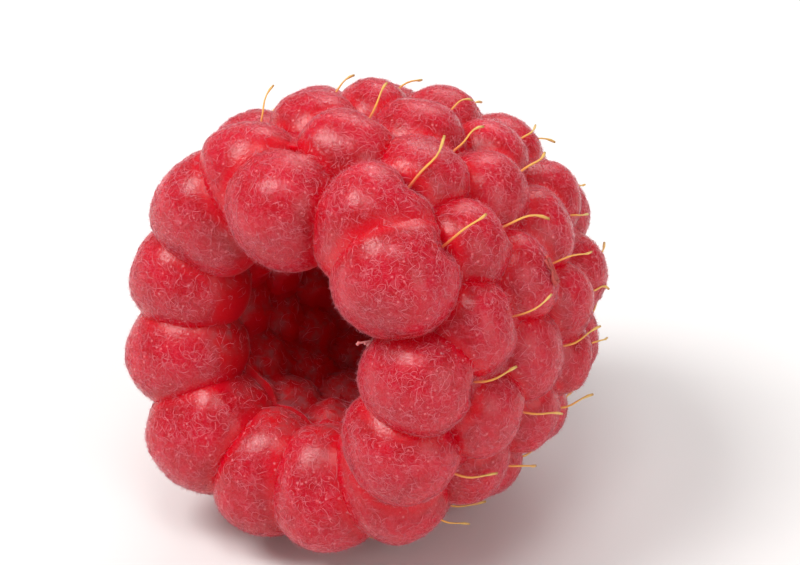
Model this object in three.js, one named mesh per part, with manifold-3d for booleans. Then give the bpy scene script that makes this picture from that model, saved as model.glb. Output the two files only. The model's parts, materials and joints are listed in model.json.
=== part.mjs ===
// A picked raspberry lying on its side. Its drupelets have grown together into one body round
// the hollow that the receptacle left, and each drupelet still carries its dried style.
// Millimetres, +Z up. The mouth of the hollow faces -Y and the tip of the berry points to +Y.
import * as THREE from "three";
import { mergeVertices } from "three/addons/utils/BufferGeometryUtils.js";
import Module from "manifold-3d";

const degrees = THREE.MathUtils.degToRad;

// Two domes share the berry's own axis. The drupelets' outer ends lie on OUTSIDE and their
// roots lie on HOLLOW. Both start near the mouth and close at the tip.
const OUTSIDE = { middle: 6.8, reach: 14.9, radius: 11.3, fullness: 1.05 };
const HOLLOW = { middle: 6.0, reach: 9.4, radius: 4.9, fullness: 0.9 };

// How the berry lies: its tip hangs a little lower than its mouth, and the four lowest
// drupelets are pressed flat by the table, round the point under its weight.
const TIP_DIP = degrees(8);
const MOUTH_HEIGHT = 11.85;
const MOUTH_BACK = 10.48;
const SIDE_SHIFT = -0.06;

// The drupelets round the mouth: turn about the axis in degrees (0 is +X, 90 is up), how far
// each sits back from the others, how far out, and its size. The root shifts only half as far.
const MOUTH_ROW = [
  [5, -0.4, -0.5, 1.0],
  [-26, -0.4, -0.4, 0.98],
  [-47, 0.9, 0.5, 0.94],
  [-72, 0.0, 0.0, 1.0],
  [-98, 0.0, 0.1, 0.97],
  [-126, 0.0, 0.6, 1.1],
  [-156, 0.2, -0.3, 1.0],
  [-186, 0.6, -0.6, 1.0],
  [-219, 0.4, -0.1, 1.04],
  [-241, 1.0, 0.3, 0.97],
  [-261, -0.7, -0.9, 1.04],
  [-296, 0.3, 0.4, 1.04],
  [-315, -0.7, 0.3, 1.1],
];
const MOUTH_LATITUDE = degrees(-18.5);
const ROOT_SHIFT = 0.5;

// The rows behind it, from the widest part to the tip: latitude on the dome, number of
// drupelets and turn of the first one.
const ROWS = [
  { latitude: 1, count: 14, first: 118 },
  { latitude: 16, count: 15, first: 103 },
  { latitude: 31, count: 14, first: 90 },
  { latitude: 45, count: 12, first: 103 },
  { latitude: 58, count: 9, first: 83 },
  { latitude: 71, count: 6, first: 93 },
  { latitude: 87, count: 1, first: 0 },
];

// Drupelets shrink from the mouth to the tip, and each differs a little from its neighbours.
const WIDEST_DRUPELET = 2.35;
const TIP_SHRINK = 0.75;
const SHRINK_POWER = 0.8;
const SIZE_SPREAD = 0.12;
const TURN_SPREAD = degrees(6);
const LATITUDE_SPREAD = 0.03;
const SEED = 20;

// Neighbours that crowd one another are pushed apart on the dome, a little in each pass. The
// crowding is felt at their bellies, at this share of the way from root to outer end.
const PASSES = 60;
const PUSH = 0.35;
const ELBOW_ROOM = 1.1;
const BELLY = 0.62;
const LOWEST_LATITUDE = MOUTH_LATITUDE + degrees(7);
const HIGHEST_LATITUDE = degrees(89);
const SMALLEST_CIRCLE = 1.2;
const SLOPE_STEP = 0.001;

// One drupelet is an egg that narrows to its root. Its middle and its half depth are shares of
// the way between the two domes. The drupelets of the mouth row reach down to the hollow.
const DRUPELET_MIDDLE = 0.57;
const DRUPELET_DEPTH = 0.45;
const MOUTH_MIDDLE = 0.52;
const MOUTH_DEPTH = 0.5;
const DRUPELET_WIDTH = 1.16;
const DRUPELET_HEIGHT = 1.11;
const ROOT_TAPER = 0.3;

// The flesh round the hollow, where the drupelets have grown together: it reaches this share of
// the way from their roots to their outer ends.
const FLESH_SHARE = 0.76;
const FLESH_FROM = degrees(-14);
const FLESH_STEPS = 6;
const FLESH_SIDES = 26;

// The styles: dry threads that leave each drupelet at its end nearest the tip.
const STYLE_LENGTH = 2.5;
const LENGTH_SPREAD = 0.4;
const STYLE_THICKNESS = 0.17;
const STYLE_STEPS = 2;
const STYLE_FOOT = { outward: 0.62, along: 0.7 };
const STYLE_RISE = { outward: 0.8, along: 0.6 };
const STYLE_ROOT = 0.7;
const STYLE_LIFT = 1.0;
const STYLE_END = { outward: 0.42, along: 0.85 };
const LIFT_SPREAD = 0.3;
const STYLE_SWAY = 1.6;
const STYLE_CLEAR = 0.2;

// Corners closer than this are one corner of a solid.
const SAME_POINT = 1e-4;

const wasm = await Module();
wasm.setup();

// Park and Miller's generator, so that each build grows the same berry.
function dice(seed) {
  let state = seed;
  return () => {
    state = (state * 16807) % 2147483647;
    return state / 2147483647 - 0.5;
  };
}

// A point of a dome round the berry's own axis, which is +Y here.
function onDome(dome, latitude, turn) {
  const round = Math.pow(Math.max(Math.cos(latitude), 0), dome.fullness);
  return new THREE.Vector3(
    dome.radius * round * Math.cos(turn),
    dome.middle + dome.reach * Math.sin(latitude),
    dome.radius * round * Math.sin(turn),
  );
}

// Half the width of a drupelet, which falls from the mouth row to the tip.
function halfWidth(seat) {
  const up = (seat.latitude - MOUTH_LATITUDE) / (Math.PI / 2 - MOUTH_LATITUDE);
  return (WIDEST_DRUPELET - TIP_SHRINK * Math.pow(up, SHRINK_POWER)) * seat.size;
}

// The middle of a drupelet, which is where it meets its neighbours.
function bellyOf(latitude, seat) {
  const outerEnd = onDome(OUTSIDE, latitude, seat.turn);
  const belly = onDome(HOLLOW, latitude, seat.turn).lerp(outerEnd, BELLY);
  belly.x += Math.cos(seat.turn) * seat.out;
  belly.y += seat.back;
  belly.z += Math.sin(seat.turn) * seat.out;
  return belly;
}

// Every drupelet's seat on the domes: the mouth row stays where the table puts it, and the
// others start evenly in their rows, a little shaken, and settle between their neighbours.
function seatDrupelets() {
  const shake = dice(SEED);
  const seats = MOUTH_ROW.map(([turn, back, out, size]) => {
    return { latitude: MOUTH_LATITUDE, turn: degrees(turn), back, out, size, atMouth: true };
  });
  for (const row of ROWS) {
    for (let i = 0; i < row.count; i++) {
      seats.push({
        latitude: degrees(row.latitude) + LATITUDE_SPREAD * shake(),
        turn: degrees(row.first - (360 * i) / row.count) + TURN_SPREAD * shake(),
        back: 0,
        out: 0,
        size: 1 + SIZE_SPREAD * shake(),
        atMouth: false,
      });
    }
  }
  const bellies = seats.map((seat) => bellyOf(seat.latitude, seat));
  for (let pass = 0; pass < PASSES; pass++) {
    seats.forEach((seat, i) => {
      if (seat.atMouth) return;
      const shove = new THREE.Vector3();
      seats.forEach((other, j) => {
        if (j === i) return;
        const gap = bellies[i].clone().sub(bellies[j]);
        const reach = ELBOW_ROOM * (halfWidth(seat) + halfWidth(other));
        const crowding = reach - gap.length();
        if (crowding > 0) shove.addScaledVector(gap, (crowding * PUSH) / gap.length());
      });
      const above = bellyOf(seat.latitude + SLOPE_STEP, seat);
      const upward = above.sub(bellyOf(seat.latitude - SLOPE_STEP, seat));
      upward.divideScalar(2 * SLOPE_STEP);
      const sideways = new THREE.Vector3(-Math.sin(seat.turn), 0, Math.cos(seat.turn));
      const radius = Math.hypot(bellies[i].x, bellies[i].z);
      const climbed = seat.latitude + shove.dot(upward) / upward.lengthSq();
      seat.latitude = THREE.MathUtils.clamp(climbed, LOWEST_LATITUDE, HIGHEST_LATITUDE);
      seat.turn += shove.dot(sideways) / Math.max(radius, SMALLEST_CIRCLE);
      bellies[i] = bellyOf(seat.latitude, seat);
    });
  }
  return seats;
}

// The berry's own axis in the place where it lies: tilted, raised and set over the origin.
const lying = new THREE.Matrix4()
  .makeTranslation(SIDE_SHIFT, -MOUTH_BACK, MOUTH_HEIGHT)
  .multiply(new THREE.Matrix4().makeRotationX(-TIP_DIP));

// A seat's directions: outward from the root, along the surface to the tip, and across.
function directionsOf(seat) {
  const shift = new THREE.Vector3(
    Math.cos(seat.turn) * seat.out,
    seat.back,
    Math.sin(seat.turn) * seat.out,
  );
  const apex = onDome(OUTSIDE, seat.latitude, seat.turn).add(shift);
  const root = onDome(HOLLOW, seat.latitude, seat.turn).addScaledVector(shift, ROOT_SHIFT);
  const outward = apex.clone().sub(root);
  const reach = outward.length();
  outward.normalize();
  const across = new THREE.Vector3(-Math.sin(seat.turn), 0, Math.cos(seat.turn));
  const along = across.clone().cross(outward).normalize();
  const middle = root.clone().lerp(apex, seat.atMouth ? MOUTH_MIDDLE : DRUPELET_MIDDLE);
  const depth = reach * (seat.atMouth ? MOUTH_DEPTH : DRUPELET_DEPTH);
  return { outward, across, along, middle, depth };
}

// A three.js shape as a solid that can be joined to others.
function solidOf(geometry) {
  const bare = geometry.clone();
  bare.deleteAttribute("normal");
  bare.deleteAttribute("uv");
  const merged = mergeVertices(bare, SAME_POINT);
  return new wasm.Manifold(
    new wasm.Mesh({
      numProp: 3,
      vertProperties: merged.attributes.position.array,
      triVerts: new Uint32Array(merged.index.array),
    }),
  );
}

function drupelet(seat) {
  const { outward, across, along, middle, depth } = directionsOf(seat);
  const egg = new THREE.IcosahedronGeometry(1, 1);
  const points = egg.attributes.position;
  for (let i = 0; i < points.count; i++) {
    const narrowing = 1 - ROOT_TAPER * Math.max(0, -points.getY(i));
    points.setX(i, points.getX(i) * narrowing);
    points.setZ(i, points.getZ(i) * narrowing);
  }
  const wide = halfWidth(seat);
  egg.scale(wide * DRUPELET_WIDTH, depth, wide * DRUPELET_HEIGHT);
  egg.applyMatrix4(new THREE.Matrix4().makeBasis(across, outward, along).setPosition(middle));
  return egg.applyMatrix4(lying);
}

// The flesh is a thick-walled dome whose inside is the hollow.
function flesh() {
  const latitudes = [];
  for (let i = 0; i <= FLESH_STEPS; i++) {
    latitudes.push(FLESH_FROM + ((Math.PI / 2 - FLESH_FROM) * i) / FLESH_STEPS);
  }
  const inside = latitudes.map((latitude) => onDome(HOLLOW, latitude, 0));
  const outside = latitudes.map((latitude, i) => {
    return inside[i].clone().lerp(onDome(OUTSIDE, latitude, 0), FLESH_SHARE);
  });
  const walls = inside.reverse().concat(outside);
  const profile = walls.map((point) => new THREE.Vector2(point.x, point.y));
  return new THREE.LatheGeometry(profile, FLESH_SIDES).applyMatrix4(lying);
}

// A style leaves its drupelet upward and bends over towards the tip, never into the table.
function style(seat, shake) {
  const { outward, across, along, middle, depth } = directionsOf(seat);
  const foot = middle.clone();
  foot.addScaledVector(outward, depth * STYLE_FOOT.outward);
  foot.addScaledVector(along, halfWidth(seat) * STYLE_FOOT.along);
  const rise = outward.clone().multiplyScalar(STYLE_RISE.outward);
  rise.addScaledVector(along, STYLE_RISE.along);
  const start = foot.clone().addScaledVector(rise, -STYLE_ROOT);
  const bend = foot.clone().addScaledVector(rise, STYLE_LIFT);
  const long = STYLE_LENGTH * (1 + LENGTH_SPREAD * shake());
  const end = foot.clone().addScaledVector(along, long * STYLE_END.along);
  end.addScaledVector(outward, long * (STYLE_END.outward + LIFT_SPREAD * shake()));
  end.addScaledVector(across, STYLE_SWAY * shake());
  const path = [start, bend, end].map((point) => {
    point.applyMatrix4(lying);
    point.z = Math.max(point.z, STYLE_CLEAR);
    return point;
  });
  const corners = [0, 120, 240].map((turn) => {
    const corner = new THREE.Vector2(STYLE_THICKNESS / 2, 0);
    return corner.rotateAround(new THREE.Vector2(), degrees(turn));
  });
  return new THREE.ExtrudeGeometry(new THREE.Shape(corners), {
    steps: STYLE_STEPS,
    bevelEnabled: false,
    extrudePath: new THREE.QuadraticBezierCurve3(...path),
  });
}

const seats = seatDrupelets();
const sway = dice(SEED + 1);
let fruit = solidOf(flesh());
for (const seat of seats) fruit = fruit.add(solidOf(drupelet(seat)));

// The table takes away all that would lie under z = 0.
const TABLE = { side: 60, thick: 10 };
const table = new THREE.BoxGeometry(TABLE.side, TABLE.side, TABLE.thick);
table.translate(0, 0, -TABLE.thick / 2);
fruit = fruit.subtract(solidOf(table));
for (const seat of seats) fruit = fruit.add(solidOf(style(seat, sway)));

const shell = fruit.getMesh();
const surface = new THREE.BufferGeometry();
surface.setAttribute("position", new THREE.BufferAttribute(shell.vertProperties, 3));
surface.setIndex(new THREE.BufferAttribute(shell.triVerts, 1));
surface.computeVertexNormals();

const skin = new THREE.MeshStandardMaterial({ color: "#b5152c", roughness: 0.42, metalness: 0 });
const raspberry = new THREE.Mesh(surface, skin);
raspberry.name = "raspberry";

const group = new THREE.Group();
group.add(raspberry);

export default group;
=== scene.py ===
# %% [markdown]
# # A picked raspberry
# A raspberry is not one berry but about eighty tiny fruits, the drupelets, which have grown
# together round the white cone they were born on. Picking leaves that cone on the cane, so the
# fruit is hollow. A plain solid of this fruit is packed already. This lesson grows the fine one
# in its place: round drupelets, fine down, dry styles and translucent red flesh.

import json
import math

import bpy
import numpy as np
from mathutils import Matrix, Vector, noise
from mathutils.bvhtree import BVHTree

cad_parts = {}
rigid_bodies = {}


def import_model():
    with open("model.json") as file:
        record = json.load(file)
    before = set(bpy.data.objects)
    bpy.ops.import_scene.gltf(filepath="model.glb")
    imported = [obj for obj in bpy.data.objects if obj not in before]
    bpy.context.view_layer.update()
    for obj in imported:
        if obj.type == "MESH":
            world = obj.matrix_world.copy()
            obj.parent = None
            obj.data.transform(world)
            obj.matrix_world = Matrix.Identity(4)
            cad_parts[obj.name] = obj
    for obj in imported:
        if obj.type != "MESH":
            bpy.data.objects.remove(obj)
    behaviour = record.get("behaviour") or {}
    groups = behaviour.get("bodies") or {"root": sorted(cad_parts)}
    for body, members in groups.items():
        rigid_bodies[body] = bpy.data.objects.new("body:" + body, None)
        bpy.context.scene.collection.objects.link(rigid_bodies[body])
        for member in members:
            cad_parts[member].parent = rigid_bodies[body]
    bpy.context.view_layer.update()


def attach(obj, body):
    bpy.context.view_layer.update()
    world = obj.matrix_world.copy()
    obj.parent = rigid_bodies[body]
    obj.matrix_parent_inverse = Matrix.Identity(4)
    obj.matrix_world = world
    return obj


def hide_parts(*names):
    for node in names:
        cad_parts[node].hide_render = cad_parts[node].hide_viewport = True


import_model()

# %% [markdown]
# ## The seats of the drupelets
# The drupelets sit in rows like roof tiles, each over the gap between two others. The row round
# the mouth is set by a small table, because its order is easy to see on the fruit. The others
# could be placed by hand too, but a rule does it better: start each row evenly, shake it a
# little, and let crowded neighbours push one another apart. The numbers are the ones that the
# solid was made with, in millimetres, so both models grow the same fruit.

# %% The two domes and the rows
MM = 0.001
OUTSIDE = {"middle": 6.8, "reach": 14.9, "radius": 11.3, "fullness": 1.05}
HOLLOW = {"middle": 6.0, "reach": 9.4, "radius": 4.9, "fullness": 0.9}
TIP_DIP = math.radians(8)
MOUTH_HEIGHT = 11.85
MOUTH_BACK = 10.48
SIDE_SHIFT = -0.06
MOUTH_LATITUDE = math.radians(-18.5)
# For each drupelet of the mouth row: turn in degrees, set back, set out, size.
MOUTH_ROW = [
    (5, -0.4, -0.5, 1.0),
    (-26, -0.4, -0.4, 0.98),
    (-47, 0.9, 0.5, 0.94),
    (-72, 0.0, 0.0, 1.0),
    (-98, 0.0, 0.1, 0.97),
    (-126, 0.0, 0.6, 1.1),
    (-156, 0.2, -0.3, 1.0),
    (-186, 0.6, -0.6, 1.0),
    (-219, 0.4, -0.1, 1.04),
    (-241, 1.0, 0.3, 0.97),
    (-261, -0.7, -0.9, 1.04),
    (-296, 0.3, 0.4, 1.04),
    (-315, -0.7, 0.3, 1.1),
]
# For each row behind it: latitude in degrees, number of drupelets, turn of the first one.
ROWS = [
    (1, 14, 118),
    (16, 15, 103),
    (31, 14, 90),
    (45, 12, 103),
    (58, 9, 83),
    (71, 6, 93),
    (87, 1, 0),
]
SEED = 20


def dice(seed):
    """A generator that multiplies and takes the remainder: the same throws, -0.5 to 0.5."""
    state = seed

    def throw():
        nonlocal state
        state = state * 16807 % 2147483647
        return state / 2147483647 - 0.5

    return throw


def on_dome(dome, latitude, turn):
    """A point of a dome round the berry's own axis, which is +Y until the berry is laid down."""
    out = dome["radius"] * max(math.cos(latitude), 0) ** dome["fullness"]
    forward = dome["middle"] + dome["reach"] * math.sin(latitude)
    return Vector((out * math.cos(turn), forward, out * math.sin(turn)))


print(len(MOUTH_ROW) + sum(row[1] for row in ROWS), "drupelets in", len(ROWS) + 1, "rows")

# %% Let the drupelets find their seats
WIDEST_DRUPELET = 2.35
TIP_SHRINK = 0.75
SHRINK_POWER = 0.8
SIZE_SPREAD = 0.12
TURN_SPREAD = math.radians(6)
LATITUDE_SPREAD = 0.03
PASSES = 60
PUSH = 0.35
ELBOW_ROOM = 1.1
BELLY = 0.62
LOWEST_LATITUDE = MOUTH_LATITUDE + math.radians(7)
HIGHEST_LATITUDE = math.radians(89)
SMALLEST_CIRCLE = 1.2
SLOPE_STEP = 0.001


def half_width(seat):
    """Half the width of a drupelet, which falls from the mouth row to the tip."""
    up = (seat["latitude"] - MOUTH_LATITUDE) / (math.pi / 2 - MOUTH_LATITUDE)
    return (WIDEST_DRUPELET - TIP_SHRINK * up**SHRINK_POWER) * seat["size"]


def shift_of(seat):
    """How far a drupelet is moved from its place on the dome, outward and towards the tip."""
    turn = seat["turn"]
    return Vector((math.cos(turn) * seat["out"], seat["back"], math.sin(turn) * seat["out"]))


def belly_of(seat, climb=0.0):
    """Where a drupelet meets its neighbours, or would if it climbed the dome a little."""
    latitude = seat["latitude"] + climb
    turn = seat["turn"]
    outer_end = on_dome(OUTSIDE, latitude, turn)
    belly = on_dome(HOLLOW, latitude, turn).lerp(outer_end, BELLY)
    return belly + shift_of(seat)


def first_seats():
    """Each drupelet at its even place in its row, shaken a little."""
    shake = dice(SEED)
    seats = []
    for turn, back, out, size in MOUTH_ROW:
        place = {"latitude": MOUTH_LATITUDE, "turn": math.radians(turn), "at_mouth": True}
        seats.append({**place, "back": back, "out": out, "size": size})
    for latitude, count, first in ROWS:
        for i in range(count):
            climbed = math.radians(latitude) + LATITUDE_SPREAD * shake()
            turned = math.radians(first - 360 * i / count) + TURN_SPREAD * shake()
            place = {"latitude": climbed, "turn": turned, "at_mouth": False}
            seats.append({**place, "back": 0, "out": 0, "size": 1 + SIZE_SPREAD * shake()})
    return seats


def settle(seats):
    """Crowded neighbours push one another along the dome until they all have room."""
    bellies = [belly_of(seat) for seat in seats]
    for _ in range(PASSES):
        for i, seat in enumerate(seats):
            if seat["at_mouth"]:
                continue
            shove = Vector((0, 0, 0))
            for j, other in enumerate(seats):
                gap = bellies[i] - bellies[j]
                crowding = ELBOW_ROOM * (half_width(seat) + half_width(other)) - gap.length
                if j != i and crowding > 0:
                    shove += gap * (crowding * PUSH / gap.length)
            upward = (belly_of(seat, SLOPE_STEP) - belly_of(seat, -SLOPE_STEP)) / (2 * SLOPE_STEP)
            sideways = Vector((-math.sin(seat["turn"]), 0, math.cos(seat["turn"])))
            radius = math.hypot(bellies[i].x, bellies[i].z)
            climbed = seat["latitude"] + shove.dot(upward) / upward.length_squared
            seat["latitude"] = min(max(climbed, LOWEST_LATITUDE), HIGHEST_LATITUDE)
            seat["turn"] += shove.dot(sideways) / max(radius, SMALLEST_CIRCLE)
            bellies[i] = belly_of(seat)
    return seats


seats = settle(first_seats())
print("seats found; the tip drupelet is at", round(math.degrees(seats[-1]["latitude"])), "degrees")

# %% [markdown]
# ## Which way each drupelet points
# A drupelet stands on its root at the wall of the hollow and points outward. Three directions
# describe it: outward, along the surface towards the tip, and across. As columns of a matrix
# they turn a model drupelet into any one on the fruit.

# %% Directions at a seat
ROOT_SHIFT = 0.5
DRUPELET_MIDDLE = 0.57
DRUPELET_DEPTH = 0.45
MOUTH_MIDDLE = 0.52
MOUTH_DEPTH = 0.5

tilt = Matrix.Rotation(-TIP_DIP, 4, "X")
lying = Matrix.Translation((SIDE_SHIFT, -MOUTH_BACK, MOUTH_HEIGHT)) @ tilt


def directions_of(seat):
    """Middle, outward, along and across for one seat, in millimetres, laid down."""
    turn = seat["turn"]
    shift = shift_of(seat)
    apex = on_dome(OUTSIDE, seat["latitude"], turn) + shift
    root = on_dome(HOLLOW, seat["latitude"], turn) + shift * ROOT_SHIFT
    outward = (apex - root).normalized()
    across = Vector((-math.sin(turn), 0, math.cos(turn)))
    along = across.cross(outward).normalized()
    share = MOUTH_MIDDLE if seat["at_mouth"] else DRUPELET_MIDDLE
    depth = (apex - root).length * (MOUTH_DEPTH if seat["at_mouth"] else DRUPELET_DEPTH)
    turned = lying.to_3x3()
    return {
        "middle": lying @ root.lerp(apex, share),
        "outward": turned @ outward,
        "along": turned @ along,
        "across": turned @ across,
        "depth": depth,
    }


for seat in seats:
    seat.update(directions_of(seat))
print("the first drupelet points", [round(v, 2) for v in seats[0]["outward"]])

# %% [markdown]
# ## A drupelet, modelled once
# Every drupelet is a plump egg with a thinner root. On the real fruit a shallow seam runs over it
# towards the tip and ends in a small notch, where the style stands. A sculptor would press both
# in with a thumb, and proportional editing is Blender's thumb: a few vertices are chosen by
# their place, and the skin round them follows when they are moved. The same function makes two
# models, since the drupelets of the mouth row are fuller, and all eighty-four are copies of them.

# %% Press the seam and the notch into an egg
# All of these are in units of the drupelet's own radius.
SEAM_HALF_WIDTH = 0.05
SEAM_START = -0.35
SEAM_DEPTH = 0.14
SEAM_REACH = 0.36
NOTCH_START = 0.62
NOTCH_BOTTOM = 0.1
NOTCH_DEPTH = 0.32
NOTCH_REACH = 0.45
# How much thinner the root is, and how square the egg: 2 is round, and more is fuller.
ROOT_TAPER = 0.3
MOUTH_TAPER = 0.08
SHOULDER = 2.2
MOUTH_SHOULDER = 2.35


def clear_selection():
    bpy.ops.object.select_all(action="DESELECT")


def press(mould, chosen, move, reach):
    """Move the vertices for which chosen(place) is true, and let the skin round them follow."""
    for vertex in mould.data.vertices:
        vertex.select = chosen(vertex.co)
    bpy.ops.object.mode_set(mode="EDIT")
    bpy.ops.transform.translate(
        value=move,
        use_proportional_edit=True,
        proportional_edit_falloff="SMOOTH",
        proportional_size=reach,
    )
    bpy.ops.mesh.select_all(action="DESELECT")
    bpy.ops.object.mode_set(mode="OBJECT")


def model_drupelet(root_taper, shoulder):
    """A drupelet of radius 1: X across, Y outward, Z along the fruit towards its tip."""
    clear_selection()
    bpy.ops.mesh.primitive_ico_sphere_add(subdivisions=4, radius=1)
    mould = bpy.context.object
    bpy.context.tool_settings.mesh_select_mode = (True, False, False)
    for vertex in mould.data.vertices:
        belly = math.hypot(vertex.co.x, vertex.co.z)
        vertex.co /= (belly**shoulder + abs(vertex.co.y) ** shoulder) ** (1 / shoulder)

    def on_seam(place):
        return abs(place.x) < SEAM_HALF_WIDTH and place.y > 0 and place.z > SEAM_START

    def at_notch(place):
        in_line = abs(place.x) < SEAM_HALF_WIDTH
        return in_line and place.y > NOTCH_BOTTOM and place.z > NOTCH_START

    press(mould, on_seam, (0, -SEAM_DEPTH, 0), SEAM_REACH)
    press(mould, at_notch, (0, 0, -NOTCH_DEPTH), NOTCH_REACH)
    for vertex in mould.data.vertices:
        taper = 1 - root_taper * max(0, -vertex.co.y)
        vertex.co.x *= taper
        vertex.co.z *= taper
    return mould


drupelet_mould = model_drupelet(ROOT_TAPER, SHOULDER)
mouth_mould = model_drupelet(MOUTH_TAPER, MOUTH_SHOULDER)
print("the drupelet mould has", len(drupelet_mould.data.polygons), "faces")

# %% [markdown]
# ## The flesh between the drupelets and the hollow
# The drupelets meet in a wall of flesh, and its inner side is the print of the cone that stayed
# on the cane. Turning a profile round the axis gives that wall. The print isn't smooth: each
# drupelet ends in a low cushion, with furrows between them, so the turned wall is pushed
# inward by a rule that looks for the nearest roots.

# %% Turn the wall of the hollow
FLESH_SHARE = 0.76
FLESH_FROM = math.radians(-14)
WALL_STEPS = 45
OUTER_STEP = 3
WALL_SIDES = 112
POLE_GAP = 0.0005
POLE_RADIUS = 0.05
INNER_SHARE = 0.3
CUSHION_HEIGHT = 0.55
CUSHION_WIDTH = 1.35
WRINKLE_HEIGHT = 0.22
WRINKLE_SIZE = 0.75
DEEPEST_PUSH = 0.4


def wall_profile():
    """Points from the end of the hollow to its rim, and back along the outer side."""
    height = math.pi / 2 - FLESH_FROM
    steps = [FLESH_FROM + height * i / WALL_STEPS for i in range(WALL_STEPS + 1)]
    inner = [on_dome(HOLLOW, latitude, 0) for latitude in steps]
    outer = [
        on_dome(HOLLOW, latitude, 0).lerp(on_dome(OUTSIDE, latitude, 0), FLESH_SHARE)
        for latitude in steps[::OUTER_STEP]
    ]
    return inner[::-1] + outer


def turn_wall():
    """The wall as one closed mesh, laid down like the berry, in millimetres."""
    points = wall_profile()
    mesh = bpy.data.meshes.new("flesh_wall")
    mesh.from_pydata(points, [(i, i + 1) for i in range(len(points) - 1)], [])
    wall = bpy.data.objects.new("flesh_wall", mesh)
    bpy.context.collection.objects.link(wall)
    clear_selection()
    wall.select_set(True)
    bpy.context.view_layer.objects.active = wall
    bpy.ops.object.mode_set(mode="EDIT")
    bpy.ops.mesh.select_all(action="SELECT")
    bpy.ops.mesh.spin(steps=WALL_SIDES, angle=2 * math.pi, center=(0, 0, 0), axis=(0, 1, 0))
    bpy.ops.mesh.select_all(action="SELECT")
    bpy.ops.mesh.remove_doubles(threshold=POLE_GAP)
    bpy.ops.mesh.normals_make_consistent(inside=False)
    bpy.ops.object.mode_set(mode="OBJECT")
    return wall


def cushion_wall(wall):
    """Push each root's cushion into the hollow, with furrows and fine wrinkles between them."""
    roots = [on_dome(HOLLOW, seat["latitude"], seat["turn"]) for seat in seats]
    for vertex in wall.data.vertices:
        place = vertex.co
        axis_point = Vector((0, place.y, 0))
        rise = math.asin(min(max((place.y - HOLLOW["middle"]) / HOLLOW["reach"], -1), 1))
        outer_radius = OUTSIDE["radius"] * max(math.cos(rise), 0) ** OUTSIDE["fullness"]
        inner_radius = HOLLOW["radius"] * max(math.cos(rise), 0) ** HOLLOW["fullness"]
        radius = (place - axis_point).length
        on_inner_wall = radius < inner_radius + INNER_SHARE * (outer_radius - inner_radius)
        if not on_inner_wall or radius < POLE_RADIUS:
            continue
        nearest = min((place - root).length for root in roots)
        cushion = max(0, 1 - (nearest / CUSHION_WIDTH) ** 2)
        wrinkle = noise.noise(place / WRINKLE_SIZE)
        push = CUSHION_HEIGHT * cushion + WRINKLE_HEIGHT * wrinkle
        push = min(push, radius * DEEPEST_PUSH)
        vertex.co = place - (place - axis_point).normalized() * push
    wall.data.transform(lying)


flesh_wall = turn_wall()
cushion_wall(flesh_wall)
print("the wall has", len(flesh_wall.data.polygons), "faces")

# %% [markdown]
# ## Grow the fruit together
# Eighty-four loose eggs would look right until light shone through them: the skin of the real
# fruit is one surface, and light wanders far inside it. So each copy is bent a little, by a
# noise that fills the whole fruit, and joined with the wall by a Boolean union. Then the fruit
# is cut flat where it lies, as its own weight presses it.

# %% Copy the drupelet to its seats
DRUPELET_WIDTH = 1.19
DRUPELET_HEIGHT = 1.13
SWELL_SIZE = 2.6
SWELL = 0.2


def egg_axes(seat):
    """The three half axes of the drupelet at a seat: across, outward and along the fruit."""
    half = half_width(seat)
    return (
        seat["across"] * (half * DRUPELET_WIDTH),
        seat["outward"] * seat["depth"],
        seat["along"] * (half * DRUPELET_HEIGHT),
    )


def copy_to_seat(mould, seat, name):
    """A copy with its own mesh, turned and stretched to its seat, in millimetres."""
    turned = Matrix(egg_axes(seat)).transposed().to_4x4()
    drupelet = bpy.data.objects.new(name, mould.data.copy())
    drupelet.data.transform(Matrix.Translation(seat["middle"]) @ turned)
    for vertex in drupelet.data.vertices:
        vertex.co += noise.noise_vector(vertex.co / SWELL_SIZE) * SWELL
    return drupelet


# Without a seed, noise_vector starts from the clock and every run grows another fruit.
noise.seed_set(SEED)
growing = bpy.data.collections.new("growing")
bpy.context.scene.collection.children.link(growing)
for i, seat in enumerate(seats):
    mould = mouth_mould if seat["at_mouth"] else drupelet_mould
    growing.objects.link(copy_to_seat(mould, seat, f"drupelet_{i + 1}"))

# %% Join them in one skin and lay the fruit down
CREASE_ANGLE = math.radians(24)
WELD_GAP = 0.002


def grow_together(wall, drupelets):
    """Join the copies to the wall one by one, which keeps each union small and sound."""
    clear_selection()
    wall.select_set(True)
    bpy.context.view_layer.objects.active = wall
    for drupelet in list(drupelets.objects):
        union = wall.modifiers.new("grown_together", "BOOLEAN")
        union.operation = "UNION"
        union.object = drupelet
        union.solver = "MANIFOLD"
        bpy.ops.object.modifier_apply(modifier=union.name)
        bpy.data.meshes.remove(drupelet.data)
    bpy.data.collections.remove(drupelets)
    return wall


def cut_flat(fruit):
    """Cut away what would be below the surface that the fruit lies on, and go over to metres."""
    bpy.ops.object.mode_set(mode="EDIT")
    bpy.ops.mesh.select_all(action="SELECT")
    bpy.ops.mesh.bisect(plane_co=(0, 0, 0), plane_no=(0, 0, 1), use_fill=True, clear_inner=True)
    bpy.ops.mesh.select_all(action="SELECT")
    bpy.ops.mesh.remove_doubles(threshold=WELD_GAP)
    bpy.ops.mesh.quads_convert_to_tris()
    bpy.ops.object.mode_set(mode="OBJECT")
    fruit.data.transform(Matrix.Scale(MM, 4))
    bpy.ops.object.shade_smooth_by_angle(angle=CREASE_ANGLE)


bpy.data.objects.remove(drupelet_mould)
bpy.data.objects.remove(mouth_mould)
fruit = grow_together(flesh_wall, growing)
fruit.name = "ripe_fruit"
fruit.data.name = "ripe_fruit"
cut_flat(fruit)
print("the fruit has", len(fruit.data.polygons), "faces")
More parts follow.
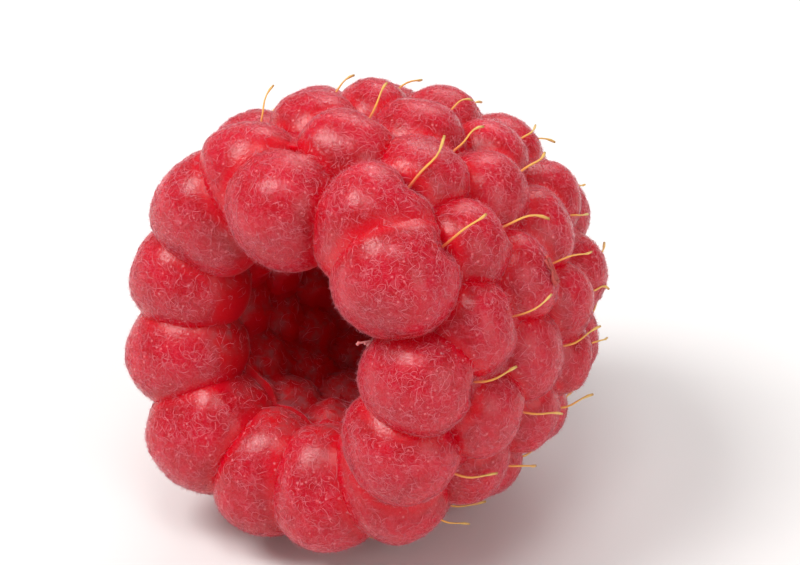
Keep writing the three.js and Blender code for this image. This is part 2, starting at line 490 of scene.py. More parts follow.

# %% [markdown]
# ## Where the skin is high, and where it is inside
# The colour of a raspberry follows its form: a brighter red painted in the creases as a glow of
# light shining through the thin flesh, a pale veil painted on the tops as the sheen of the down,
# and dark and brownish in the hollow. A point attribute carries such a map on the mesh itself,
# so the pattern stays on the fruit from every side.

# %% Write the two maps on the skin
CREST_FROM = 0.45
LINING_MARGIN = 0.9
LINING_FADE = 1.2
LINING_START = 1.5


def seat_matrices():
    """For each seat, the matrix that makes its egg a ball of radius 1, and the egg's middle."""
    inverses = [np.linalg.inv(np.array(egg_axes(seat)).T) for seat in seats]
    return np.array(inverses), np.array([seat["middle"] for seat in seats])


def vertex_places(mesh):
    flat = np.empty(len(mesh.vertices) * 3)
    mesh.vertices.foreach_get("co", flat)
    return flat.reshape(-1, 3)


def write_map(mesh, name, values):
    attribute = mesh.attributes.new(name, "FLOAT", "POINT")
    attribute.data.foreach_set("value", np.asarray(values, dtype=np.float32))


def map_skin(mesh):
    """How far the skin is from a crease, and how far inside the hollow, both from 0 to 1."""
    places = vertex_places(mesh) / MM
    inverses, middles = seat_matrices()
    distances = np.empty((len(seats), len(places)))
    for i, (inverse, middle) in enumerate(zip(inverses, middles)):
        distances[i] = np.linalg.norm((places - middle) @ inverse.T, axis=1)
    nearest = np.partition(distances, 1, axis=0)
    crest = np.clip((nearest[1] - nearest[0]) / CREST_FROM, 0, 1)
    own = np.array(lying.inverted())
    upright = places @ own[:3, :3].T + own[:3, 3]
    radius = np.hypot(upright[:, 0], upright[:, 2])
    rise = np.clip((upright[:, 1] - HOLLOW["middle"]) / HOLLOW["reach"], -0.99, 0.99)
    wall = HOLLOW["radius"] * np.cos(np.arcsin(rise)) ** HOLLOW["fullness"]
    inside = np.clip((wall + LINING_MARGIN - radius) / LINING_FADE, 0, 1)
    inside *= upright[:, 1] > LINING_START
    write_map(mesh, "crest", crest)
    write_map(mesh, "inside", inside)
    return crest, inside


crest_map, inside_map = map_skin(fruit.data)
print(f"{(inside_map > 0.5).mean():.0%} of the skin's points are in the hollow")

# %% [markdown]
# ## Threads: one mould, many bends
# The dry styles and the down are both threads, and a thread is a thin tube that follows a path.
# A curve with a bevel could do it, but the fruit needs tens of thousands of them, so one
# straight thread is modelled, and every copy is bent in one sweep of array maths: each ring of
# the mould goes to its own point of the path and is turned to face along it.

# %% A straight thread, cut into rings
def model_thread(name, sides, widths):
    """A closed tube from z = 0 to 1, with a ring for each width; a last width of 0 is a point."""
    clear_selection()
    pointed = widths[-1] == 0
    bpy.ops.mesh.primitive_cone_add(
        vertices=sides, radius1=1, radius2=0 if pointed else 1, depth=1, location=(0, 0, 0.5)
    )
    thread = bpy.context.object
    thread.name = name
    bpy.ops.object.transform_apply(location=True, rotation=True, scale=True)
    last = len(widths) - 1
    bpy.ops.object.mode_set(mode="EDIT")
    for level in range(1, last):
        bpy.ops.mesh.select_all(action="SELECT")
        bpy.ops.mesh.bisect(plane_co=(0, 0, level / last), plane_no=(0, 0, 1))
    bpy.ops.mesh.select_all(action="SELECT")
    bpy.ops.mesh.quads_convert_to_tris()
    bpy.ops.object.mode_set(mode="OBJECT")
    for vertex in thread.data.vertices:
        level = round(vertex.co.z * last)
        radius = math.hypot(vertex.co.x, vertex.co.y)
        if radius > 0:
            vertex.co.x *= widths[level] / radius
            vertex.co.y *= widths[level] / radius
    return thread


STYLE_WIDTHS = (1.0, 0.95, 0.85, 0.78, 0.72, 0.68, 0.64, 0.6, 0.58, 0.95, 0.8)
DOWN_WIDTHS = (1.0, 0.95, 0.8, 0.6, 0)
FUZZ_WIDTHS = (1.0, 0)
style_mould = model_thread("style_mould", 6, STYLE_WIDTHS)
down_mould = model_thread("down_mould", 3, DOWN_WIDTHS)
fuzz_mould = model_thread("fuzz_mould", 3, FUZZ_WIDTHS)
print("triangles a thread:", [len(m.data.polygons) for m in (style_mould, down_mould, fuzz_mould)])


# %% Bend a copy of the thread along every path
def bend_threads(name, mould, paths, radii, upward, tints):
    """One object of all the copies; paths is threads by rings by 3, and all is in metres."""
    shape = vertex_places(mould.data)
    rings = paths.shape[1]
    level = np.rint(shape[:, 2] * (rings - 1)).astype(int)
    heading = np.gradient(paths, axis=1)
    heading /= np.linalg.norm(heading, axis=2, keepdims=True)
    side = np.cross(heading, upward[:, None, :])
    side /= np.linalg.norm(side, axis=2, keepdims=True)
    over = np.cross(heading, side)
    stretch = shape[None, :, 0, None] * side[:, level] + shape[None, :, 1, None] * over[:, level]
    places = paths[:, level] + stretch * radii[:, None, None]
    corners = np.array([list(face.vertices) for face in mould.data.polygons])
    offsets = np.arange(len(paths))[:, None, None] * len(shape)
    faces = (corners[None] + offsets).reshape(-1, 3)
    mesh = bpy.data.meshes.new(name)
    mesh.vertices.add(len(paths) * len(shape))
    mesh.vertices.foreach_set("co", places.reshape(-1))
    mesh.loops.add(len(faces) * 3)
    mesh.loops.foreach_set("vertex_index", faces.reshape(-1))
    mesh.polygons.add(len(faces))
    mesh.polygons.foreach_set("loop_start", np.arange(len(faces)) * 3)
    mesh.polygons.foreach_set("use_smooth", np.ones(len(faces), dtype=bool))
    mesh.update(calc_edges=True)
    mesh.validate()
    write_map(mesh, "along", np.tile(shape[:, 2], len(paths)))
    write_map(mesh, "tint", np.repeat(tints, len(shape)))
    threads = bpy.data.objects.new(name, mesh)
    bpy.context.scene.collection.objects.link(threads)
    return threads


print("rings a thread:", [len(widths) for widths in (STYLE_WIDTHS, DOWN_WIDTHS, FUZZ_WIDTHS)])

# %% [markdown]
# ## The dry styles
# Each drupelet keeps the style of its flower: a thread of two or three millimetres that dries to
# straw gold. It rises from the notch, bends over the next drupelet and ends in a tiny knob. The
# paths come from the same throws of the dice as in the solid, with a slight curl added.

# %% One style from every notch
STYLE_LENGTH = 2.5
LENGTH_SPREAD = 0.4
STYLE_THICKNESS = 0.17
STYLE_FOOT = {"outward": 0.62, "along": 0.7}
STYLE_RISE = {"outward": 0.8, "along": 0.6}
STYLE_ROOT = 0.7
STYLE_LIFT = 1.0
STYLE_END = {"outward": 0.42, "along": 0.85}
LIFT_SPREAD = 0.3
STYLE_SWAY = 1.6
STYLE_CLEAR = 0.2
STYLE_CURL = (0.08, 0.26)
STYLE_WAVES = (4.0, 9.0)
CURL_GROWTH = 1.5
THINNEST_STYLE = 0.75


def style_path(seat, shake, luck):
    """The bend of one style as a row of points, in millimetres."""
    half = half_width(seat)
    outward = seat["outward"]
    along = seat["along"]
    foot = seat["middle"] + outward * (seat["depth"] * STYLE_FOOT["outward"])
    foot = foot + along * (half * STYLE_FOOT["along"])
    rise = outward * STYLE_RISE["outward"] + along * STYLE_RISE["along"]
    long = STYLE_LENGTH * (1 + LENGTH_SPREAD * shake())
    lift = STYLE_END["outward"] + LIFT_SPREAD * shake()
    sway = STYLE_SWAY * shake()
    end = foot + along * (long * STYLE_END["along"]) + outward * (long * lift)
    end = end + seat["across"] * sway
    corners = [foot - rise * STYLE_ROOT, foot + rise * STYLE_LIFT, end]
    for corner in corners:
        corner.z = max(corner.z, STYLE_CLEAR)
    start, bend, end = corners
    points = []
    reach = luck.uniform(*STYLE_CURL)
    waves = luck.uniform(*STYLE_WAVES)
    first = luck.uniform(0, 2 * math.pi)
    for i in range(len(STYLE_WIDTHS)):
        t = i / (len(STYLE_WIDTHS) - 1)
        point = start * (1 - t) ** 2 + bend * (2 * t * (1 - t)) + end * t**2
        angle = waves * t + first
        curl = seat["across"] * math.cos(angle) + outward * (0.5 * math.sin(angle))
        points.append(point + curl * (reach * t**CURL_GROWTH))
    return points


shake = dice(SEED + 1)
luck = np.random.default_rng(SEED)
bends = [style_path(seat, shake, luck) for seat in seats]
style_paths = np.array([[list(point) for point in bend] for bend in bends]) * MM
style_up = np.array([list(seat["outward"]) for seat in seats])
style_radii = STYLE_THICKNESS / 2 * MM * luck.uniform(THINNEST_STYLE, 1.0, len(seats))
style_tints = luck.random(len(seats))
styles = bend_threads("dry_styles", style_mould, style_paths, style_radii, style_up, style_tints)
print("the styles have", len(styles.data.polygons), "triangles")

# %% [markdown]
# ## Torn shreds
# Where the cone was pulled out, a few shreds of its skin stay in one gap of the rim, and on the
# flank clings one withered scrap. They are short threads too, only thicker and more crumpled,
# so the same mould serves.

# %% Find the skin
skin = fruit.data


def sorted_triangles(mesh):
    """The mesh's triangles in a fixed order, because a union may write them in any order."""
    corners = np.empty(len(mesh.loops), dtype=np.int32)
    mesh.loops.foreach_get("vertex_index", corners)
    corners = corners.reshape(-1, 3)
    lowest = corners.argmin(axis=1)
    corners = np.take_along_axis(corners, (lowest[:, None] + np.arange(3)) % 3, axis=1)
    return corners[np.lexsort(corners.T[::-1])]


skin_corners = sorted_triangles(skin)
skin_tree = BVHTree.FromPolygons([vertex.co for vertex in skin.vertices], skin_corners.tolist())


def on_skin(point, height):
    """The point brought to this height above the skin nearest to it, all in millimetres."""
    near, normal, _, _ = skin_tree.find_nearest(point * MM)
    return near / MM + normal * height


def rim_point(turn, forward):
    """The skin that is met from the hollow's axis in this direction, in millimetres."""
    start = lying @ Vector((0, forward, 0))
    outward = lying.to_3x3() @ Vector((math.cos(turn), 0, math.sin(turn)))
    return skin_tree.ray_cast(start * MM, outward)[0] / MM


print("the rim is met at", [round(v, 1) for v in rim_point(0, 2.2)])

# %% Shreds on the rim and a scrap on the flank
SHRED_LENGTH = 0.8
SHRED_RADIUS = 0.07
SHRED_CRUMPLE = 0.16
SHRED_SUNK = 0.15
SHRED_SPREAD = 0.25
RIM_FORWARD = 1.6
# The two neighbours in the mouth row between which the shreds stand, and their number.
RIM_GAPS = ((0, 12, 5),)
SCRAP_SEATS = (30,)
SCRAP_THREADS = 4
SCRAP_LENGTH = 1.6 * SHRED_LENGTH
SCRAP_SPREAD = 0.3


def turn_between(first, second):
    """The turn halfway between two neighbours, also where the count starts again."""
    gap = math.remainder(second["turn"] - first["turn"], 2 * math.pi)
    return first["turn"] + gap / 2


def shred_path(foot, heading, long, luck, clings):
    """A crumpled way from the foot along the heading; one that clings stays on the skin."""
    place = foot - heading * (SHRED_SUNK * long)
    step = (1 + SHRED_SUNK) * long / len(STYLE_WIDTHS)
    points = []
    for _ in range(len(STYLE_WIDTHS)):
        points.append(list(on_skin(place, SHRED_RADIUS) if clings else place))
        swing = Vector(luck.uniform(-SHRED_CRUMPLE, SHRED_CRUMPLE, 3))
        place = place + heading * step + swing * (long / 2)
    return points


def lay_shreds():
    luck = np.random.default_rng(SEED + 5)
    paths, radii, upward, tints = [], [], [], []
    for first, second, count in RIM_GAPS:
        foot = rim_point(turn_between(seats[first], seats[second]), RIM_FORWARD)
        for _ in range(count):
            heading = -seats[first]["along"] - seats[first]["outward"] * 0.4
            heading = heading + Vector(luck.uniform(-0.9, 0.9, 3))
            start = foot + Vector(luck.uniform(-SHRED_SPREAD, SHRED_SPREAD, 3))
            paths.append(shred_path(start, heading.normalized(), SHRED_LENGTH, luck, False))
            radii.append(SHRED_RADIUS * luck.uniform(0.6, 1.3) * MM)
            upward.append(list(seats[first]["outward"]))
            tints.append(luck.uniform(0.0, 0.4))
    for number in SCRAP_SEATS:
        seat = seats[number]
        top = seat["middle"] + seat["outward"] * seat["depth"]
        for _ in range(SCRAP_THREADS):
            heading = seat["across"] + seat["along"] * luck.uniform(-0.6, 0.6)
            start = top + seat["along"] * luck.uniform(-SCRAP_SPREAD, SCRAP_SPREAD)
            start = start - seat["across"] * (2 * SCRAP_SPREAD)
            paths.append(shred_path(start, heading.normalized(), SCRAP_LENGTH, luck, True))
            radii.append(SHRED_RADIUS * luck.uniform(1.0, 1.8) * MM)
            upward.append(list(seat["outward"]))
            tints.append(luck.uniform(0.7, 1.0))
    laid = [np.array(part) for part in (paths, radii, upward, tints)]
    return bend_threads("torn_shreds", style_mould, laid[0] * MM, *laid[1:])


shreds = lay_shreds()
print("the shreds have", len(shreds.data.polygons), "triangles")

# %% [markdown]
# ## The down
# A raspberry is covered with two kinds of hair: long curly ones that lie on the skin, and short
# ones that stand and give every drupelet its pale outline. Hair particles would be quickest, but
# a library part keeps only meshes, so the hairs are threads too. Points are thrown on the skin,
# evenly by area but fewer in the creases and in the hollow, and none where the fruit lies.
# Every ring of a lying hair is brought back to the skin nearest to it.

# %% Throw points on the skin
FLOOR_CLEARANCE = 0.35
DOWN_IN_HOLLOW = 0.1
DOWN_IN_CREASE = 0.3


def scatter(count, seed):
    """Random points of the skin, with its normal there."""
    triangles = vertex_places(skin)[skin_corners]
    crossed = np.cross(triangles[:, 1] - triangles[:, 0], triangles[:, 2] - triangles[:, 0])
    double_area = np.linalg.norm(crossed, axis=1)
    middle = triangles.mean(axis=1)
    inside = inside_map[skin_corners].mean(axis=1)
    crest = crest_map[skin_corners].mean(axis=1)
    upward = np.clip(crossed[:, 2] / np.maximum(double_area, 1e-18), 0, 1)
    in_hollow = DOWN_IN_HOLLOW + (1 - DOWN_IN_HOLLOW) * upward
    weight = double_area * (1 - inside * (1 - in_hollow))
    weight *= DOWN_IN_CREASE + (1 - DOWN_IN_CREASE) * crest
    weight[middle[:, 2] < FLOOR_CLEARANCE * MM] = 0
    throw = np.random.default_rng(seed)
    chosen = throw.choice(len(triangles), size=count, p=weight / weight.sum())
    u, v = throw.random((2, count))
    beyond = u + v > 1
    u[beyond], v[beyond] = 1 - u[beyond], 1 - v[beyond]
    picked = triangles[chosen]
    points = picked[:, 0] + u[:, None] * (picked[:, 1] - picked[:, 0])
    points = points + v[:, None] * (picked[:, 2] - picked[:, 0])
    normals = crossed[chosen] / double_area[chosen][:, None]
    return points, normals, throw


def tangents(normals):
    """Two directions in the skin for every normal."""
    helper = np.where(np.abs(normals[:, 2:]) < 0.9, [[0.0, 0.0, 1.0]], [[1.0, 0.0, 0.0]])
    first = np.cross(normals, helper)
    first /= np.linalg.norm(first, axis=1, keepdims=True)
    return first, np.cross(normals, first)


skin_area = sum(face.area for face in skin.polygons) / MM**2
print("skin for the hairs to stand on, in square millimetres:", round(skin_area))

# %% Lay the long curly hairs on the skin
DOWN_PIECES = 2
DOWN_COUNT = 8800
DOWN_LENGTH = 0.95
DOWN_SHORTEST = 0.4
DOWN_CURL = 3.2
DOWN_RADIUS = 0.0145
DOWN_SUNK = 0.02
DOWN_RISE = 0.05
RADIUS_SPREAD = 0.3


def lay_down(name, seed):
    """Long hairs that curl over the skin, each ring just above it."""
    points, normals, throw = scatter(DOWN_COUNT, seed)
    first, second = tangents(normals)
    rings = len(DOWN_WIDTHS)
    long = DOWN_LENGTH * (DOWN_SHORTEST + (1 - DOWN_SHORTEST) * throw.random(DOWN_COUNT)) * MM
    heading = throw.random(DOWN_COUNT) * 2 * math.pi
    curl = DOWN_CURL * throw.standard_normal(DOWN_COUNT) / (rings - 1)
    lift = DOWN_RISE * throw.random(DOWN_COUNT)
    paths = np.empty((DOWN_COUNT, rings, 3))
    place = points.copy()
    for ring in range(rings):
        share = ring / (rings - 1)
        height = (lift * math.sin(math.pi * share) + DOWN_SUNK * (2 * share - 1)) * MM
        for i in range(DOWN_COUNT):
            near, normal, _, _ = skin_tree.find_nearest(Vector(place[i]))
            paths[i, ring] = near + normal * height[i]
        turn = heading + curl * ring
        onward = np.cos(turn)[:, None] * first + np.sin(turn)[:, None] * second
        place = paths[:, ring] + (long / (rings - 1))[:, None] * onward
    radii = DOWN_RADIUS * MM * (1 - RADIUS_SPREAD + 2 * RADIUS_SPREAD * throw.random(DOWN_COUNT))
    return bend_threads(name, down_mould, paths, radii, normals, throw.random(DOWN_COUNT))


down = [lay_down(f"curly_down_{i + 1}", SEED + 10 + i) for i in range(DOWN_PIECES)]
print("long hairs:", DOWN_COUNT * DOWN_PIECES, "of", len(down_mould.data.polygons), "triangles")

# %% Stand the short fuzz on the skin
FUZZ_PIECES = 2
FUZZ_COUNT = 32000
FUZZ_LENGTH = 0.16
FUZZ_RADIUS = 0.006
FUZZ_LEAN = 0.4


def stand_fuzz(name, seed):
    """Short straight hairs that stand up and lean a little, in all directions."""
    points, normals, throw = scatter(FUZZ_COUNT, seed)
    first, second = tangents(normals)
    heading = throw.random(FUZZ_COUNT) * 2 * math.pi
    lean = FUZZ_LEAN * throw.random(FUZZ_COUNT)
    sideways = np.cos(heading)[:, None] * first + np.sin(heading)[:, None] * second
    long = FUZZ_LENGTH * (0.5 + throw.random(FUZZ_COUNT)) * MM
    root = points - normals * DOWN_SUNK * MM
    pointing = normals * np.cos(lean)[:, None] + sideways * np.sin(lean)[:, None]
    tip = root + pointing * long[:, None]
    tip[:, 2] = np.maximum(tip[:, 2], 0)
    paths = np.stack((root, tip), axis=1)
    radii = np.full(FUZZ_COUNT, FUZZ_RADIUS * MM)
    upward = np.cross(sideways, normals)
    return bend_threads(name, fuzz_mould, paths, radii, upward, throw.random(FUZZ_COUNT))


fuzz = [stand_fuzz(f"short_fuzz_{i + 1}", SEED + 30 + i) for i in range(FUZZ_PIECES)]
for mould in (style_mould, down_mould, fuzz_mould):
    bpy.data.objects.remove(mould)
print("short hairs:", FUZZ_COUNT * FUZZ_PIECES)

# %% [markdown]
# ## Writing shader maths as Python
# A node tree of a dozen Math nodes is hard to read, but the formula that it stands for is short.
# So a small class wraps a socket and takes part in sums and products, and each operator adds
# the node that does it. A second class holds the material and adds any other node.

# %% A socket that can be reckoned with
class Value:
    """A number that changes over the surface."""

    def __init__(self, finish, socket):
        self.finish = finish
        self.socket = socket

    def maths(self, operation, first, second):
        return self.finish.add("ShaderNodeMath", {"operation": operation}, {0: first, 1: second})

    def __add__(self, other):
        return self.maths("ADD", self, other)

    __radd__ = __add__

    def __sub__(self, other):
        return self.maths("SUBTRACT", self, other)

    def __rsub__(self, other):
        return self.maths("SUBTRACT", other, self)

    def __mul__(self, other):
        return self.maths("MULTIPLY", self, other)

    __rmul__ = __mul__

    def __abs__(self):
        return self.finish.add("ShaderNodeMath", {"operation": "ABSOLUTE"}, {0: self})

    def between(self, low, high):
        """0 below low, 1 above high, and smooth in between."""
        settings = {"interpolation_type": "SMOOTHSTEP"}
        inputs = {"Value": self, "From Min": low, "From Max": high}
        return self.finish.add("ShaderNodeMapRange", settings, inputs)


print("sums, products and smooth steps now add their own nodes")


# %% A material that is being made
class Finish:
    """A material that is being made."""

    def __init__(self, name):
        self.material = bpy.data.materials.new(name)
        self.material.use_nodes = True
        self.tree = self.material.node_tree
        self.tree.nodes.clear()

    def add(self, kind, settings=None, inputs=None, output=0):
        """The output of a new node of any type: its settings come first, then values or links."""
        node = self.tree.nodes.new(kind)
        for name, setting in (settings or {}).items():
            setattr(node, name, setting)
        for name, value in (inputs or {}).items():
            if isinstance(value, Value):
                self.tree.links.new(value.socket, node.inputs[name])
            else:
                node.inputs[name].default_value = value
        return Value(self, node.outputs[output]) if node.outputs else None

    def place(self):
        return self.add("ShaderNodeTexCoord", output="Object")

    def map(self, name):
        """A map that the mesh carries."""
        return self.add("ShaderNodeAttribute", {"attribute_name": name}, output="Fac")

    def grain(self, size, detail=2.0, roughness=0.5, swirl=0.0):
        """Soft noise whose lumps are about so many millimetres across."""
        inputs = {"Vector": self.place(), "Scale": 1 / (size * MM), "Detail": detail}
        inputs |= {"Roughness": roughness, "Distortion": swirl}
        return self.add("ShaderNodeTexNoise", {}, inputs)

    def blend(self, share, first, second):
        """One colour going over into another."""
        inputs = {0: share, 6: first, 7: second}
        return self.add("ShaderNodeMix", {"data_type": "RGBA"}, inputs, output=2)

    def relief(self, height, depth):
        """The normal of a surface with this relief, whose full depth is in millimetres."""
        inputs = {"Height": height, "Distance": depth * MM, "Strength": 1.0}
        return self.add("ShaderNodeBump", {}, inputs)

    def surface(self, **inputs):
        """Close the material with one shader; an underscore stands for a space in a name."""
        named = {name.replace("_", " "): value for name, value in inputs.items()}
        shader = self.add("ShaderNodeBsdfPrincipled", {}, named)
        self.add("ShaderNodeOutputMaterial", {}, {"Surface": shader})
        return self.material


print("a finish can add:", [name for name in vars(Finish) if not name.startswith("_")])

# %% [markdown]
# ## The skin
# Raspberry skin is thin and the flesh under it is nearly clear, so most of its colour is light
# that went in, wandered and came out red. That is subsurface scattering with a long reach in
# red. On top of that a brighter red is painted in the creases as a glow of light shining through,
# and a pale veil on the tops as the sheen of the down; pale specks lie over it, and the hollow is
# darker and drier, with brownish wrinkles low on its wall.

# %% Translucent red flesh
SPECK_GAP = 0.42
SKIN_RELIEF = 0.04
LIGHT_REACH = 2.4
# How strongly the painted sheen of the down shows as a pale veil on the tops.
PAINTED_SHEEN_STRENGTH = 0.6
HAIR_STRENGTH = 0.2
SPECK_STRENGTH = 0.5


def ripe_skin():
    """Deep red flesh, a painted glow in the creases, a pale veil of painted sheen and fine hairs
    on top, and its lining.
    """
    skin = Finish("ripe_skin")
    crest = skin.map("crest")
    inside = skin.map("inside")
    patches = skin.grain(1.9, 3.0, 0.55)
    mottle = skin.grain(0.55, 3.0, 0.6)
    wrinkles = skin.grain(0.16, 3.0, 0.65)
    deep = (0.42, 0.000, 0.006, 1)
    fresh = (0.55, 0.000, 0.016, 1)
    glow = (0.66, 0.000, 0.012, 1)
    painted_sheen_colour = (0.58, 0.001, 0.026, 1)
    pale = (0.76, 0.16, 0.22, 1)
    speck = (0.85, 0.33, 0.36, 1)
    wine = (0.60, 0.000, 0.008, 1)
    dusty = (0.46, 0.085, 0.095, 1)
    colour = skin.blend(patches.between(0.35, 0.7), deep, fresh)
    # Painted sheen: a paler veil on the tops of the drupelets, away from the creases, stands in
    # for the sheen of the down.
    painted_sheen_mask = crest.between(0.4, 1.0) * (0.25 + 0.75 * mottle.between(0.35, 0.75))
    colour = skin.blend(painted_sheen_mask * PAINTED_SHEEN_STRENGTH, colour, painted_sheen_colour)
    # Painted glow: a brighter red in the creases stands in for light shining through the thin
    # flesh between drupelets.
    colour = skin.blend(crest.between(0.0, 0.5), glow, colour)
    tangle = 1 - abs(2 * skin.grain(0.95, 1.0, 0.5, 2.6) - 1)
    fine_tangle = 1 - abs(2 * skin.grain(0.6, 1.0, 0.5, 2.2) - 1)
    lying_hair = tangle.between(0.91, 0.975) + fine_tangle.between(0.93, 0.985)
    colour = skin.blend(lying_hair * crest.between(0.1, 0.5) * HAIR_STRENGTH, colour, pale)
    inputs = {"Vector": skin.place(), "Scale": 1 / (SPECK_GAP * MM), "Randomness": 1.0}
    spots = skin.add("ShaderNodeTexVoronoi", {"feature": "F1"}, inputs)
    colour = skin.blend((1 - spots.between(0.08, 0.2)) * SPECK_STRENGTH, colour, speck)
    facing = skin.add("ShaderNodeNewGeometry", output="Normal")
    upward = skin.add("ShaderNodeSeparateXYZ", {}, {"Vector": facing}, output="Z")
    lining = skin.blend(mottle.between(0.38, 0.7) * upward.between(-0.1, 0.7), wine, dusty)
    colour = skin.blend(inside.between(0.25, 0.9), colour, lining)
    rough = 0.19 + 0.16 * wrinkles + 0.25 * inside
    relief = 0.4 * wrinkles + 0.4 * mottle + 0.3 * tangle + 1.5 * patches
    return skin.surface(
        Base_Color=colour,
        Roughness=rough,
        Normal=skin.relief(relief, SKIN_RELIEF),
        Subsurface_Weight=1.0,
        Subsurface_Radius=(1.0, 0.12, 0.12),
        Subsurface_Scale=LIGHT_REACH * MM,
        Sheen_Weight=0.3,
        Sheen_Roughness=0.22,
        Sheen_Tint=(1.0, 0.66, 0.72, 1),
        IOR=1.42,
    )


fruit.data.materials.clear()
fruit.data.materials.append(ripe_skin())
print("nodes in the skin's material:", len(fruit.data.materials[0].node_tree.nodes))


# %% [markdown]
# ## Straw, shreds and down
# A style dries from its knob down, so its colour runs along it. Shreds are pale and moist on the
# rim and dry on the flank. A hair is clear: the skin's red that would shine through it is painted
# at its root, and it goes pale towards its tip, and the pale ends give the fruit its bloom.

# %% The finishes of the threads
def straw():
    """Dry style: rusty at the foot, golden along it, greenish straw at the knob."""
    dry = Finish("dry_style")
    along = dry.map("along")
    tint = dry.map("tint")
    rust = (0.62, 0.085, 0.02, 1)
    gold = (0.83, 0.40, 0.075, 1)
    pale = (0.72, 0.52, 0.16, 1)
    brown = (0.33, 0.16, 0.03, 1)
    colour = dry.blend(along.between(0.12, 0.55), rust, gold)
    colour = dry.blend(along.between(0.5, 0.9) * (0.35 + 0.65 * tint), colour, pale)
    colour = dry.blend(along.between(0.93, 1.0) * 0.6, colour, brown)
    fibres = dry.grain(0.09, 2.0, 0.6)
    return dry.surface(
        Base_Color=colour,
        Roughness=0.38 + 0.2 * fibres,
        Normal=dry.relief(fibres, 0.012),
        Subsurface_Weight=0.3,
        Subsurface_Radius=(1.0, 0.5, 0.2),
        Subsurface_Scale=0.0002,
    )


def scrap():
    """Shred: pale pink tissue on the rim, and reddish and dry on the flank."""
    dry = Finish("torn_scrap")
    tint = dry.map("tint")
    creases = dry.grain(0.14, 3.0, 0.6)
    tissue = dry.blend(creases, (0.62, 0.16, 0.18, 1), (0.80, 0.42, 0.40, 1))
    withered = dry.blend(creases, (0.30, 0.02, 0.02, 1), (0.66, 0.10, 0.08, 1))
    colour = dry.blend(tint.between(0.45, 0.65), tissue, withered)
    return dry.surface(
        Base_Color=colour,
        Roughness=0.45 + 0.25 * creases,
        Normal=dry.relief(creases, 0.03),
        Subsurface_Weight=0.5,
        Subsurface_Radius=(1.0, 0.4, 0.3),
        Subsurface_Scale=0.0003,
    )


def hair(name, root, tip):
    """Down: the skin's red painted at the root, as if seen through the clear hair, and pale
    towards the tip.
    """
    clear = Finish(name)
    along = clear.map("along")
    tint = clear.map("tint")
    palest = (0.90, 0.42, 0.48, 1)
    # Painted light: the red at a hair's root stands in for the skin shining through the clear
    # hair.
    colour = clear.blend(along.between(0.0, 1.0), root, tip)
    colour = clear.blend(0.2 * tint, colour, palest)
    return clear.surface(Base_Color=colour, Roughness=0.5 + 0.1 * tint, IOR=1.45)


shreds.data.materials.append(scrap())
styles.data.materials.append(straw())
curly_finish = hair("curly_down", (0.58, 0.02, 0.05, 1), (0.86, 0.28, 0.34, 1))
fuzz_finish = hair("short_fuzz", (0.55, 0.00, 0.02, 1), (0.94, 0.38, 0.45, 1))
for tuft in down:
    tuft.data.materials.append(curly_finish)
for tuft in fuzz:
    tuft.data.materials.append(fuzz_finish)
print("materials:", [material.name for material in bpy.data.materials])

# %% [markdown]
# ## Hand the pieces to the frame
# The fruit takes the place of the packed solid, and everything rides on the one body there is.

# %% Place the pieces on the packed body
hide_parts("raspberry")
pieces = [fruit, styles, shreds, *down, *fuzz]
for piece in pieces:
    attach(piece, "root")
print("pieces:", len(pieces))

# %% [markdown]
# ## A small studio
# Soft light from the upper left models every drupelet with one wide highlight, and weaker
# lights from the other sides keep the creases glowing instead of black. A long lens a third of a
# metre away looks into the mouth and down on the fruit from its right.

# %% Floor, light and camera
FLOOR_SIZE = 3.0
LOOK_AT = (0.0, 0.0, 0.0108)
CAMERA_TURN = math.radians(36.3)
CAMERA_RISE = math.radians(31.7)
CAMERA_DISTANCE = 0.34
FRAME_WIDTH = 0.0386
SENSOR_WIDTH = 36.0
WORLD_COLOUR = (1.0, 0.99, 0.98, 1)
WORLD_STRENGTH = 0.36


def around(turn, rise, distance):
    """A place round the fruit; turn 0 is in front of the mouth, and 90 degrees is to its right."""
    flat = math.cos(rise) * distance
    place = (math.sin(turn) * flat, -math.cos(turn) * flat, math.sin(rise) * distance)
    return Vector(place) + Vector(LOOK_AT)


def aim(thing):
    """Turn a lamp or the camera towards the fruit."""
    gaze = Vector(LOOK_AT) - thing.location
    thing.rotation_euler = gaze.to_track_quat("-Z", "Y").to_euler()


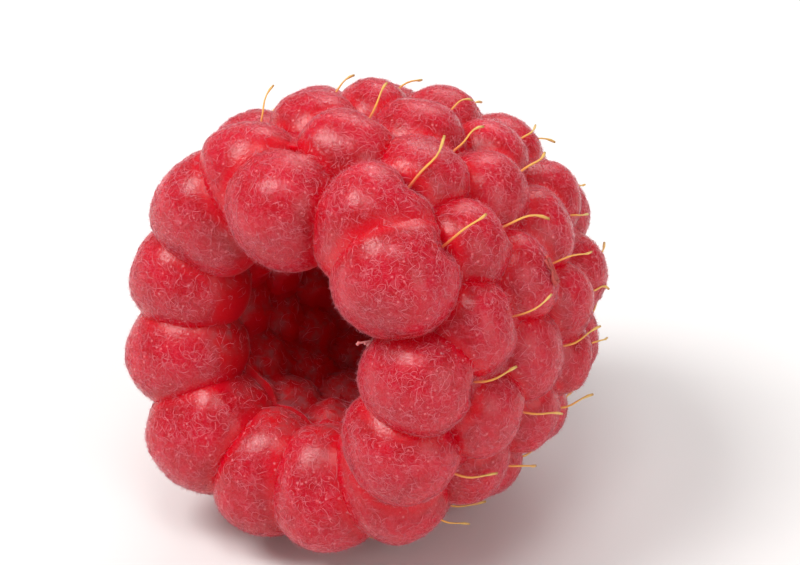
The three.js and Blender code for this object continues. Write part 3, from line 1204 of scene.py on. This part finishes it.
def lay_floor():
    """A sheet of pale paper under the fruit."""
    clear_selection()
    bpy.ops.mesh.primitive_plane_add(size=FLOOR_SIZE)
    floor = bpy.context.object
    floor.name = "studio_floor"
    paper = Finish("pale_paper")
    tone = paper.grain(9.0, 3.0)
    colour = paper.blend(tone, (0.80, 0.79, 0.785, 1), (0.83, 0.825, 0.82, 1))
    floor.data.materials.append(paper.surface(Base_Color=colour, Roughness=0.8))


def hang_light(name, turn, rise, distance, size, power, colour):
    """A square soft lamp; turn and rise are in degrees, and power is in watts."""
    light = bpy.data.lights.new(name, "AREA")
    light.size = size
    light.energy = power
    light.color = colour
    lamp = bpy.data.objects.new(name, light)
    lamp.location = around(math.radians(turn), math.radians(rise), distance)
    aim(lamp)
    bpy.context.scene.collection.objects.link(lamp)


def set_camera():
    """A long lens whose picture is FRAME_WIDTH wide at the fruit."""
    lens = bpy.data.cameras.new("camera")
    lens.sensor_width = SENSOR_WIDTH
    lens.lens = SENSOR_WIDTH * CAMERA_DISTANCE / FRAME_WIDTH
    lens.clip_start = 0.01
    camera = bpy.data.objects.new("camera", lens)
    camera.location = around(CAMERA_TURN, CAMERA_RISE, CAMERA_DISTANCE)
    aim(camera)
    bpy.context.scene.collection.objects.link(camera)
    bpy.context.scene.camera = camera


def light_room():
    """Even pale light from all round."""
    world = bpy.data.worlds.new("pale_room")
    world.use_nodes = True
    background = world.node_tree.nodes["Background"]
    background.inputs["Color"].default_value = WORLD_COLOUR
    background.inputs["Strength"].default_value = WORLD_STRENGTH
    bpy.context.scene.world = world


lay_floor()
hang_light("key", -42, 54, distance=0.45, size=0.2, power=1.5, colour=(1.0, 0.98, 0.97))
hang_light("top", 30, 72, distance=0.45, size=0.16, power=0.45, colour=(1.0, 0.99, 0.98))
hang_light("fill", 82, 22, distance=0.5, size=0.35, power=0.75, colour=(1.0, 0.99, 0.98))
hang_light("back", 205, 40, distance=0.5, size=0.3, power=0.8, colour=(1.0, 1.0, 1.0))
set_camera()
light_room()
bpy.context.scene.view_settings.view_transform = "Standard"
print("the camera looks from", [round(v, 3) for v in bpy.context.scene.camera.location])
